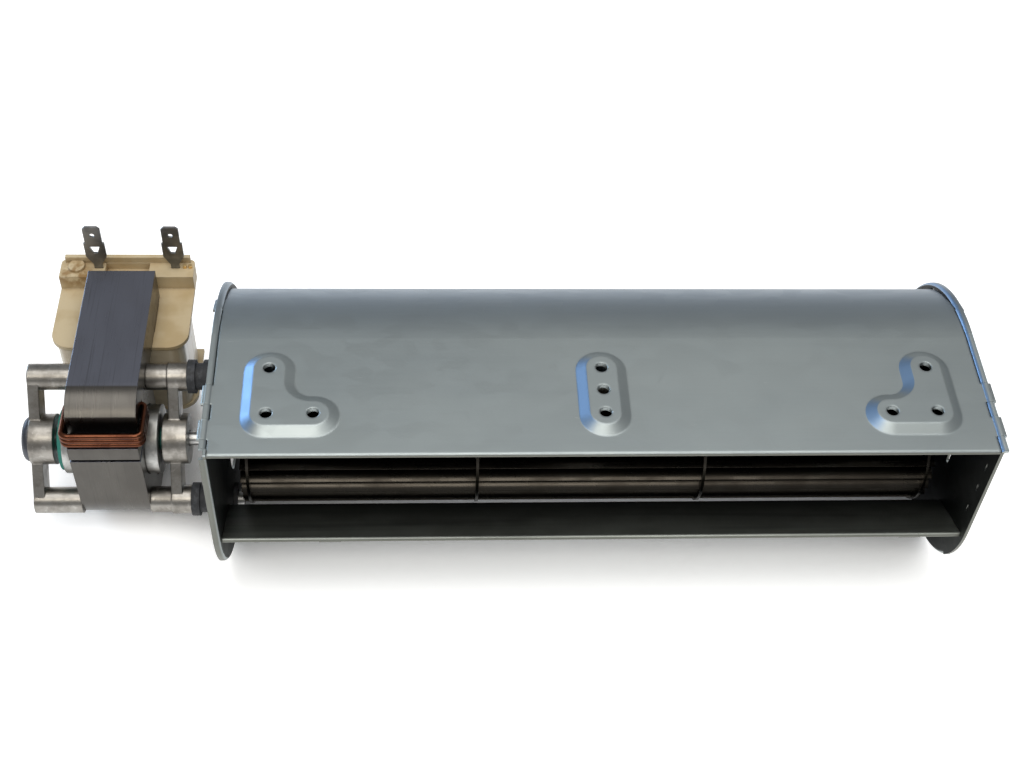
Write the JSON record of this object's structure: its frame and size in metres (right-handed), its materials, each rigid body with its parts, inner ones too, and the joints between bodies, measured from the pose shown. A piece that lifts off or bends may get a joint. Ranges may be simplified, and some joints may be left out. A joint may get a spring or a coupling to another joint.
{
  "type": "cross flow fan",
  "caption": "Cross flow fan: a long bladed drum in a folded sheet-metal scroll between two end plates, driven by a skeleton shaded-pole motor on one end.",
  "frame": {"origin": "centre of the four outer pad holes, on the seating plane of the raised pads", "axes": "+X along the impeller from the motor to the far end, -Y the way the air leaves, +Z out of the mounting pads"},
  "size_m": [0.3304, 0.116, 0.087],
  "materials": {
    "galvanised_sheet": "zinc-coated sheet, satin",
    "galvanised_plate": "zinc-coated sheet, satin",
    "rubber": "matt",
    "bronze": "sintered",
    "laminations": "stacked laminations",
    "copper": "bare copper",
    "copper_winding": "enamelled wire",
    "tinned": "tinned",
    "bobbin_plastic": "cream plastic",
    "coil_tape": "tape",
    "cast_bracket": "die-cast",
    "spring_steel": "plain",
    "dark_steel": "dark",
    "screw_steel": "zinc-plated",
    "wheel_aluminium": "mill finish",
    "hub_steel": "turned",
    "cast_aluminium": "cast",
    "teal_washer": "teal fibre washer"
  },
  "bodies": {
    "housing": {"upper_housing_sheet": "galvanised_sheet", "lower_housing_sheet": "galvanised_sheet", "motor_end_plate": "galvanised_plate", "far_end_plate": "galvanised_plate", "far_bearing_bush": "rubber", "far_bearing": "bronze", "stator_stack": "laminations", "coil_core": "laminations", "upper_shading_rings": "copper", "lower_shading_rings": "copper", "coil_bobbin": "bobbin_plastic", "coil_winding": "copper_winding", "coil_tape": "coil_tape", "terminal_tabs": "tinned", "winding_pins": "tinned", "outer_bearing_bracket": "cast_bracket", "inner_bearing_bracket": "cast_bracket", "outer_bearing": "bronze", "inner_bearing": "bronze", "outer_bearing_retainer": "spring_steel", "inner_bearing_retainer": "spring_steel", "outer_bearing_cap": "dark_steel", "stator_bolts": "screw_steel", "mounting_grommets": "rubber", "mounting_screws": "screw_steel"},
    "impeller": {"impeller_blades": "wheel_aluminium", "motor_side_disc": "wheel_aluminium", "far_side_disc": "wheel_aluminium", "middle_discs": "wheel_aluminium", "drive_hub": "hub_steel", "drive_hub_screw": "screw_steel", "far_hub": "hub_steel", "rotor_core": "laminations", "rotor_cage": "cast_aluminium", "motor_shaft": "hub_steel", "thrust_washer": "teal_washer", "inner_washer": "spring_steel"}
  },
  "joints": [
    {"name": "impeller_spin", "type": "hinge", "parent": "housing", "child": "impeller", "pos_m": [0, 0.0243, -0.0545], "axis": [1, 0, 0], "continuous": true}
  ]
}
